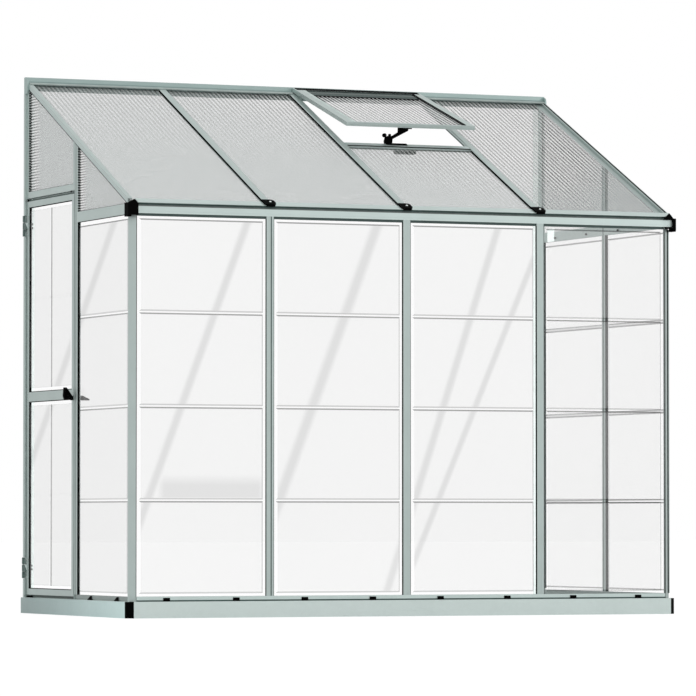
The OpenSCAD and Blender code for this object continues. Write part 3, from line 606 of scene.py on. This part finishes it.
def front_seals():
    sill = box("front_sill")[5]
    head = box("head_channels")[2]
    groove = 2.95
    inside = front_y + CORNER
    seals, line, covers, corner = Solid(), Solid(), Solid(), Solid()
    for k in range(1, 4):
        x0, y0, z0, x1, y1, z1 = box(f"front_post_{k}")
        seals.prism(seal(x0, -1, y0, 1, wide=0.8 if k == 1 else 1.5), z0, head, run_z)
        seals.prism(seal(x1, 1, y0, 1, wide=1.6), z0, head, run_z)
        # A dark line of painted shade on the first post's face
        if k == 1:
            line.prism(strip(x1 - 13.5, x1 - 9, y0 - 0.05, y0 - 0.3, 0.5),
                       z0 + 0.5, z1 - 0.5, run_z)
        mid = 0.5 * (x0 + x1)
        covers.prism([(mid - groove, y0 + 4), (mid - groove, y0 + 0.3), (mid - 2, y0 + 0.1),
                      (mid + 2, y0 + 0.1), (mid + groove, y0 + 0.3), (mid + groove, y0 + 4)],
                     z0 + 0.5, z1 - 0.5, run_z)
    # The seal at the left corner is black rubber; the one at the right is grey, as painted shade
    for side, wall, solid, wide in ((1, left_x, seals, 2.3), (-1, right_x, corner, 1.2)):
        solid.prism(seal(wall + CORNER * side, side, front_y, 1, wide=wide), sill, head, run_z)
        seals.prism(seal(inside, 1, wall, side, swap=True), sill, head, run_z)
    # At the right corner post's chamfer: its black edge, a rubber strip of painted shade, and the
    # bright strip behind that
    seals.prism([(right_x - 9, inside - 9.4), (right_x - 8.6, inside - 9.8),
                 (right_x + 0.4, inside - 0.8), (right_x + 1.6, inside + 2),
                 (right_x + 0.2, inside + 2), (right_x + 0.1, inside)], sill, head, run_z)
    covers.prism([(right_x + 0.3, inside + 2.5), (right_x + 5, inside + 2.5),
                  (right_x + 7, inside + 4.5), (right_x + 7, inside + 17),
                  (right_x + 5.5, inside + 19), (right_x + 0.3, inside + 19)], sill, head, run_z)
    seals.piece("front_seals", rubber, "black_plastic")
    corner.piece("corner_seal", grey_shade, "black_plastic")
    line.piece("front_post_line", dark_shade, "black_plastic")
    covers.piece("front_groove_covers", metal_z, "frame")


def eave_channel_shades():
    """Painted shade in the eave beam's upper channel: a dark strip and a grey strip."""
    x0, y0, z0, x1, y1, z1 = box("eave_beam")
    back = y0 + 11.9
    low = z0 + 28.4
    upper, lower = Solid(), Solid()
    upper.prism([(back, low + 5.6), (back, low + 13), (back - 1.3, low + 13), (back - 1.8, low + 9),
                 (back - 1.3, low + 5.6)], x0 + 1, x1 - 8, run_x)
    lower.prism([(back, low), (back, low + 5.4), (back - 1.3, low + 5.4), (back - 2.1, low + 2),
                 (back - 2.1, low)], x0 + 1, x1 - 8, run_x)
    upper.piece("eave_channel_dark_shade", dark_shade, "black_plastic")
    lower.piece("eave_channel_grey_shade", grey_shade, "black_plastic")


def sill_strips():
    """The dark strip of painted shade at the foot of the front sill, and the clips that hold the
    sills down.
    """
    x0, y0, z0, x1, y1, z1 = box("front_sill")
    side_x = box("end_sills")[0]
    foot, clips = Solid(), Solid()
    foot.prism([(y0 + 1.9, z0 + 0.3), (y0 + 1.9, z0 + 5.8), (y0 + 0.5, z0 + 5.8),
                (y0 + 0.2, z0 + 3), (y0 + 0.5, z0 + 0.3)], x0 + 1, x1 - 1, run_x)
    for x in SILL_CLIPS_X:
        clips.prism([(y0 + 0.1, z0 + 1), (y0 - 3, z0 + 1), (y0 - 3, z0 + 9), (y0 - 1.2, z0 + 15),
                     (y0 + 0.1, z0 + 15)], x - 14, x + 14, run_x)
    for y in SILL_CLIPS_Y:
        clips.prism([(y + 26, z0 + 0.3), (y + 22, z0 + 3), (y - 9, z0 + 17), (y - 19, z0 + 17),
                     (y - 19, z0 + 0.3)], side_x - 0.1, side_x - 3.4, run_x)
    foot.piece("front_sill_shade_strip", dark_shade, "black_plastic")
    clips.piece("sill_clips", plastic, "black_plastic")


# ---------------------------------------------------------------- end walls

def end_wall_seals():
    sill = box("end_sills")[5]
    rail = box("eave_rail_left")
    header = box("door_header")
    seals, groove_shades = Solid(), Solid()

    # The middle posts: the left one shows its outer side, the right one its inner side too
    for name, side, wall in (("mid_post_left", 1, left_x), ("mid_post_right", -1, right_x)):
        x0, y0, z0, x1, y1, z1 = box(name)
        left = side > 0
        for edge, out in [(y0, -1)] if left else [(y0, -1), (y1, 1)]:
            for profile in (OUTER,) if left else (OUTER, INNER):
                section = seal(edge, out, wall, side, profile, swap=True,
                               wide=0.8 if left else 1.0)
                seals.prism(section, z0, rail[2], run_z)
                if not left:
                    seals.prism(section, rail[5], roof_z(edge) - UNDER_RAFTER, run_z)
        mid = 0.5 * (y0 + y1)
        # Dark strips of painted shade fill the posts' grooves
        groove = ((-2.9, 6.8), (-2.9, 4.4), (0, 4), (2.9, 4.4), (2.9, 6.8))
        groove_shades.prism([(wall + side * d, mid + k) for k, d in groove],
                      z0 + 0.5, roof_z(y0) - UNDER_RAFTER, run_z)
    # A dark strip of painted shade beside the right middle post
    x0, y0, z0, x1, y1, z1 = box("mid_post_right")
    groove_shades.prism([(x0 + 0.1, y1 - 14), (x0 - 0.6, y1 - 13.4), (x0 - 0.6, y1 - 8.6),
                   (x0 + 0.1, y1 - 8)], z0, roof_z(y0) - ROOF_CUT, run_z)

    # Above and below the left eave rail, and above the door's header
    for z, out in ((rail[2], -1), (rail[5], 1)):
        seals.prism(seal(z, out, left_x, 1, swap=True), rail[1] + 2, rail[4] - 2.2, run_y)
    seals.prism(seal(header[5], 1, left_x, 1, swap=True), header[1] + 3, header[4] - 0.5, run_y)

    # At the house wall on the right, with a dark strip of painted shade behind the seal
    edge = box("end_panes_right")[4] - 8
    seals.prism(seal(edge, -1, right_x, -1, swap=True, wide=1.6), sill, rail[2], run_z)
    behind = ((3.3, 2.6), (18, 4), (18, 8.9), (3.3, 8.9))
    groove_shades.prism([(right_x - d, edge - k) for k, d in behind], sill, rail[2], run_z)
    seals.piece("end_wall_seals", rubber, "black_plastic")
    groove_shades.piece("end_groove_shade_strips", dark_shade, "black_plastic")


def gable_seals():
    """Toothed strips at the open ends of the gable sheets' cells."""
    tooth, pitch = 5.2, 10.5
    seals = Solid()
    for edge, z in ((box("door_header")[4], box("door_header")[5] + 1),
                    (box("mid_post_left")[1], box("eave_rail_left")[5] + 1)):
        while z < roof_z(edge) - ROOF_CUT:
            seals.prism(seal(edge, -1, left_x, 1, swap=True, wide=1.1), z, z + tooth, run_z)
            z += pitch
    seals.piece("gable_cell_seals", rubber, "black_plastic")


def rail_end_plate():
    """The pale plate at the wall end of the right eave rail, with its upper corners cut; it glows
    as painted light.
    """
    y0, y1, cut = 466, 534, 8
    x = box("eave_rails_right")[0]
    z = box("eave_rails_right")[2]
    plate = Solid()
    plate.prism([(y0, z + 0.5), (y1, z + 0.5), (y1, z + 50), (y1 - cut, z + 56), (y0 + cut, z + 56),
                 (y0, z + 50)], x - 0.9, x - 0.2, run_x)
    plate.piece("rail_end_plate", pale_glow, "frame")


# ---------------------------------------------------------------- roof and vent

def roof_seals():
    lip = up_slope(box("ridge_plate")[1])
    curb = up_slope(box("vent_curb")[1]) - 7
    start, top = ROOF_CUT, lip - 3
    seals, bands, lip_shade = Solid(), Solid(), Solid()
    for k in range(1, 4):
        rafter = box(f"rafter_{k}")
        seals.prism(seal(rafter[0], -1, 0, -1, wide=0.6), start, curb if k == 3 else top, roof)
        seals.prism(seal(rafter[3], 1, 0, -1, wide=0.4), start, curb if k == 2 else top, roof)
    x1 = box("rafter_right")[3]
    x0 = box("rafter_left")[0]
    seals.prism(strip(x1 - 12, x1 - 4, 0.05, 0.9, 0.4), start, top, roof)
    seals.prism([(x0 + 0.4, -20.1), (x0 + 4, -20.1), (x0 + 4, -24), (x0 + 0.8, -23.6)],
                start + 10, top, roof)
    # A band of painted shade over the pane beside the right rafter and over the rafter's inner edge
    bands.prism([(x1 - 46, -8.9), (x1 - 45, -8.2), (x1 - 19, -8.2), (x1 - 18.1, -8.9)],
                start, top, roof)
    bands.prism([(x1 - 18, 0.05), (x1 - 17, 0.7), (x1 - 12.6, 0.7), (x1 - 12.1, 0.05)],
                start, top, roof)
    # A grey strip of painted shade over the ridge's lip
    for a, b in ((left_x + 3, -2), (leaf_box[3] + 6, right_x - 3)):
        lip_shade.prism([(lip - 1.4, 0.2), (lip - 1.4, 4), (lip + 12, 4), (lip + 12.6, 3),
                    (lip - 0.2, 3), (lip - 0.2, 0.2)], a, b, roof_across)
    seals.piece("roof_seals", rubber, "black_plastic")
    bands.piece("right_rafter_shade_strip", metal_shade_band, "frame")
    lip_shade.piece("ridge_lip_shade", light_grey_shade, "frame")


def vent_seals():
    inner = leaf_half - LEAF_BAR
    glass = 13.3
    face = LEAF_TOP + 0.05
    rail, foot = 36, 607
    low = up_slope(box("vent_curb")[1]) - 5.5
    seals, strips, bands, side_band, curb_line = (Solid() for _ in range(5))

    # Round the pane, over the hinge rail, and along the inner edge of the right bar
    for side in (-1, 1):
        seals.prism([(side * inner, glass), (side * (inner - 3), glass),
                     (side * (inner - 2.2), glass + 1.7), (side * inner, glass + 2.9)],
                    rail, foot, leaf)
    a, b = 3.2 - inner, inner - 3.2
    seals.prism([(34, glass), (38, glass), (37, glass + 1.7), (34, glass + 2.9)], a, b, leaf_across)
    seals.prism([(1, face), (32, face), (33, face + 0.55), (31, face + 1.15), (2, face + 1.15)],
                8 - leaf_half, leaf_half - 8, leaf_across)
    seals.prism([(inner - 0.5, face), (inner + 0.2, face + 1.35), (inner + 8.4, face + 1.35),
                 (inner + 9, face)], rail, foot, leaf)

    # Dark and grey bands of painted shade under the hinge, ending in a tooth over each cell
    for w0, w1 in ((38.5, 56), (74, 92), (96, 117.8)):
        strips.prism(strip(w0, w1, glass, glass + 1.2, 0.6), a, b, leaf_across)
    for w0, w1 in ((56.2, 73.8), (92.1, 95.9)):
        bands.prism(strip(w0, w1, glass, glass + 0.9, 0.6), a, b, leaf_across)
    teeth, tooth = 126, 11
    u = 4 - inner
    while u < inner - 14:
        seals.prism([(teeth, glass), (teeth, glass + 1.3), (146, glass + 1.1), (150, glass)],
                    u, u + tooth, leaf_across)
        u += ROOF_STRIPE
    seals.prism([(118, glass), (118, glass + 1.5), (teeth - 0.1, glass + 1.5),
                 (teeth - 0.1, glass)], a, b, leaf_across)

    side_band.prism(strip(27 - leaf_half, -inner, face, face + 0.65, 0.6), rail, foot - 1, leaf)
    x0, x1 = box("vent_curb")[0], box("vent_curb")[3]
    curb_line.prism([(low + 1, 0.1), (low + 11, 0.1), (low + 10, 1.2), (low + 1.5, 1.2)],
                    x0 + 1, x1 - 1, roof_across)
    strips.piece("vent_top_dark_shades", dark_shade, "black_plastic")
    bands.piece("vent_top_grey_shades", grey_shade, "black_plastic")
    seals.piece("vent_seals", rubber, "black_plastic")
    side_band.piece("vent_side_band", pale_band, "frame")
    curb_line.piece("curb_strip", rubber, "black_plastic")


# ---------------------------------------------------------------- door

def door_beads():
    """Beads round the leaf's panes on both sides, and the block on its top at the hinge."""
    outer = [(0, 1.6), (3.4, 2.4), (4.6, 4.8), (0, 4.8)]
    inner = [(0, 8.4), (4.6, 8.4), (3.4, 10.6), (0, 11.4)]
    corner = 4.8
    y0, y1 = door_y0 + STILE, door_y1 - STILE
    beads = Solid()
    for z0, z1 in ((door_z0 + STILE, LOCK_RAIL[0]), (LOCK_RAIL[1], door_z1 - STILE)):
        for profile in (outer, inner):
            for edge, out in ((y1, -1), (y0, 1)):
                beads.prism(seal(edge, out, door_x0, 1, profile, swap=True),
                            z0 + 0.2, z1 - 0.2, run_z)
            for edge, out in ((z0, 1), (z1, -1)):
                beads.prism(seal(edge, out, door_x0, 1, profile, swap=True, wide=0.7),
                            y0 + corner, y1 - corner, run_y)
    beads.prism([(door_y1 - 17, door_z1 + 0.1), (door_y1 - 17, door_z1 + 6.6),
                 (door_y1 - 15, door_z1 + 7.6), (door_y1 - 2.5, door_z1 + 7.6),
                 (door_y1 - 1, door_z1 + 6), (door_y1 - 1, door_z1 + 0.1)],
                door_x0 + 0.5, door_x0 + 10, run_x)
    beads.piece("door_pane_beads", rubber, "black_plastic", "door")

    # A dark strip of painted shade on the leaf's top, under the gap at the header
    top = Solid()
    top.prism([(door_x0 + 2, door_z1 + 0.1), (door_x0 + 2, door_z1 + 4.6),
               (door_x0 + 3.4, door_z1 + 5.6), (door_x0 + 7, door_z1 + 5.6),
               (door_x0 + 8, door_z1 + 0.1)], door_y0 + 12, door_y1 - 17.5, run_y)
    top.piece("door_top_shade_strip", dark_shade, "black_plastic", "door")


def doorway_seals():
    """Soft stops under the header and on the base behind the closed leaf; the grey strip on the
    base is painted shade.
    """
    header = box("door_header")
    base = box("base_rail_left")[5]
    stop = door_x0 + 16.9
    threshold, seals = Solid(), Solid()
    threshold.prism([(stop, base + 2), (stop - 2.4, base + 2), (stop - 2.8, base + 8),
                     (stop, base + 22)], door_y0 + 12, door_y1 - 12, run_y)
    seals.prism([(stop, header[2] - 16), (stop - 2.4, header[2] - 14), (stop - 2.8, header[2] - 2),
                 (stop, header[2] - 0.5)], header[1] + 2, header[4] - 2, run_y)
    seals.prism([(door_x0 + 1, base + 0.2), (door_x0 + 1, base + 5.6), (stop - 3.2, base + 6.4),
                 (stop - 3.2, base + 0.2)], door_y1 - 40, door_y1 + 4, run_y)
    threshold.piece("threshold_shade_strip", grey_shade, "black_plastic")
    seals.piece("doorway_seals", rubber, "black_plastic")


def handle_grip():
    """The wedge on the inner lever."""
    x = box("door_handle")[3]
    z = 0.5 * sum(LOCK_RAIL) - 20.4
    grip = Solid()
    grip.prism([(x - 27.9, z + 13.4), (x - 0.4, z + 0.9), (x - 0.4, z), (x - 23.9, z)],
               door_y0 + 8, door_y0 + 18, run_y)
    grip.piece("handle_grip", plastic, "black_plastic", "handle")


# ---------------------------------------------------------------- screws

# A pan head with a round recess, as (radius, height) on a head of radius PAN_R
PAN = [(0, 2.6), (1.6, 2.6), (1.2, 1.4), (2.2, 1.4), (2.6, 2.5), (3.6, 2.0), (4.5, 0.2), (4.5, 0),
       (0, 0)]
PAN_R = 4.5
RAIL_SCREWS_Y = (455, 149, -155, -430)
HINGE_SCREWS = (12, 43, 74)
HINGE_NUTS_Z = (1603, 1619, 182, 197)


def heads(name, material, body, places, tall=1.0):
    """Screw heads, each given by its place, outward axis and radius."""
    solid = Solid()
    for place, axis, radius in places:
        size = radius / PAN_R
        origin, way = Vector(place), Vector(axis)
        side = way.orthogonal().normalized()
        third = way.cross(side)
        solid.turned([(r * size, h * tall) for r, h in PAN],
                     lambda u, v, w: origin + side * u + third * v + way * w)
    solid.piece(name, material, "frame", body)


def screws():
    left, right = (-1, 0, 0), (1, 0, 0)
    up = (0, -math.sin(SLOPE), math.cos(SLOPE))
    rafters = [box(f"rafter_{k}") for k in range(1, 4)]
    heads("bright_screws_greenhouse", screw_bright, "greenhouse",
          [(roof(0.5 * (r[0] + r[3]) + 5, 6.3, 17), up, 4.6) for r in rafters])
    hinges = box("door_hinges")
    feet = (hinges[2], hinges[5] - HINGE_LENGTH)
    heads("grey_screws_door", screw_grey, "door",
          [((door_x0 - 2.5, door_y1 - 12, z + dz), left, 3.2) for z in feet for dz in HINGE_SCREWS])
    rail, header = box("eave_rails_right"), box("door_header")
    on_rail = [((rail[0], y, rail[2] + 14), left, 5.0) for y in RAIL_SCREWS_Y]
    on_header = ((header[0], header[1] + 14, header[2] + 15), left, 4.5)
    heads("dark_screws_greenhouse", screw_dark, "greenhouse", [*on_rail, on_header], 2.4)
    # The nuts are coloured with the grey used for painted shade
    heads("nut_screws_door", grey_shade, "door",
          [((door_x1 + 0.1, door_y1 - 31, z), right, 5.5) for z in HINGE_NUTS_Z])


front_seals()
end_wall_seals()
gable_seals()
roof_seals()
eave_channel_shades()
sill_strips()
vent_seals()
door_beads()
doorway_seals()
handle_grip()
rail_end_plate()
screws()


# ---------------------------------------------------------------- camera, light and floor

# The camera's place in m, its tilt upwards and its turn in degrees, and its lens in mm
CAMERA = (-7.9393, -18.5224, 0.3886)
CAMERA_TILT, CAMERA_TURN = 2.0239, -23.2109
LENS = 251.15
# What the lamps point at, and the world's strength on the object and in reflections
AIM = Vector((0.0, 0.0, 1.0))
AROUND = 0.85
# Half the floor's side in m, its colour and glow in view, and its colour to all other rays
FLOOR_HALF = 60.0
FLOOR_SEEN, FLOOR_GLOW, FLOOR_BOUNCE = 0.235, 0.80, 0.8


def camera():
    data = bpy.data.cameras.new("camera")
    data.lens = LENS
    data.sensor_width = 36.0
    data.clip_end = 200.0
    cam = bpy.data.objects.new("camera", data)
    cam.location = CAMERA
    cam.rotation_euler = Euler((math.radians(90 + CAMERA_TILT), 0.0, math.radians(CAMERA_TURN)))
    scene.collection.objects.link(cam)
    scene.camera = cam


def soft_light(name, place, size, power):
    data = bpy.data.lights.new(name, "AREA")
    data.shape = "RECTANGLE"
    data.size, data.size_y = size
    data.energy = power
    lamp = bpy.data.objects.new(name, data)
    lamp.location = place
    lamp.rotation_euler = (AIM - Vector(place)).to_track_quat("-Z", "Y").to_euler()
    scene.collection.objects.link(lamp)


def studio():
    """White where the camera looks, also through a pane, and a little less bright around."""
    world = bpy.data.worlds.new("studio")
    world.use_nodes = True
    scene.world = world
    tree = world.node_tree
    path = tree.nodes.new("ShaderNodeLightPath")
    seen = tree.nodes.new("ShaderNodeMath")
    seen.operation = "MAXIMUM"
    level = tree.nodes.new("ShaderNodeMapRange")
    level.inputs["To Min"].default_value = AROUND
    level.inputs["To Max"].default_value = 1.0
    background = tree.nodes["Background"]
    background.inputs["Color"].default_value = WHITE
    tree.links.new(path.outputs["Is Camera Ray"], seen.inputs[0])
    tree.links.new(path.outputs["Is Transmission Ray"], seen.inputs[1])
    tree.links.new(seen.outputs[0], level.inputs["Value"])
    tree.links.new(level.outputs[0], background.inputs["Strength"])


def floor():
    """Pale floor: its own glow lifts it to white in view and leaves the object's shadow."""
    h = FLOOR_HALF
    mesh = bpy.data.meshes.new("floor")
    mesh.from_pydata([(-h, -h, 0), (h, -h, 0), (h, h, 0), (-h, h, 0)], [], [(0, 1, 2, 3)])
    plane = bpy.data.objects.new("floor", mesh)
    scene.collection.objects.link(plane)
    t = Tree("pale_floor").set(Roughness=0.9, Specular_IOR_Level=0.1, Emission_Color=WHITE)
    seen = t.node("ShaderNodeLightPath").outputs["Is Camera Ray"]
    t.into(t.mix(seen, (FLOOR_BOUNCE,) * 3, (FLOOR_SEEN,) * 3), "Base Color")
    t.into(t.math("MULTIPLY", seen, FLOOR_GLOW), "Emission Strength")
    mesh.materials.append(t.mat)


camera()
soft_light("key", (-3.5, -6.0, 6.0), (4.0, 4.0), 150.0)
soft_light("fill", (6.0, -5.0, 3.0), (4.0, 3.0), 60.0)
studio()
floor()
